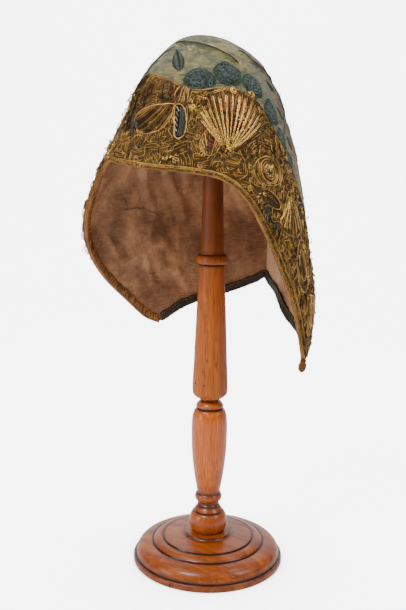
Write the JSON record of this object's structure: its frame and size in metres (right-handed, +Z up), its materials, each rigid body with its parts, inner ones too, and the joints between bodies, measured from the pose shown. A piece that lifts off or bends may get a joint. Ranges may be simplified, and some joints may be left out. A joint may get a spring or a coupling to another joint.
{
  "type": "embroidered coif on a turned wood stand",
  "caption": "Close-fitting embroidered silk coif with a deep metal-thread lace band, linen lining and bound edges, raised on a plain turned wood stand with a stepped round foot.",
  "frame": {"origin": "centre of the stand's underside, which rests on the surface", "axes": "+Z up along the stand's axis, -Y towards the face opening, +X towards the corner that hangs lower"},
  "size_m": [0.1869, 0.1882, 0.442],
  "materials": {
    "silk": "worn sage silk",
    "lining": "stained pink-brown linen",
    "metal_thread": "tarnished gold thread",
    "face_tape": "golden-brown tape",
    "nape_ribbon": "dark green ribbon",
    "polished_wood": "glossy varnish",
    "waxed_wood": "plain waxed"
  },
  "bodies": {
    "root": {"coif_silk": "silk", "coif_lining": "lining", "lace_band": "metal_thread", "face_binding": "face_tape", "nape_binding": "nape_ribbon", "binding_knob": "face_tape", "stand_base": "polished_wood", "stand_baluster": "polished_wood", "stand_post": "waxed_wood"}
  },
  "joints": []
}
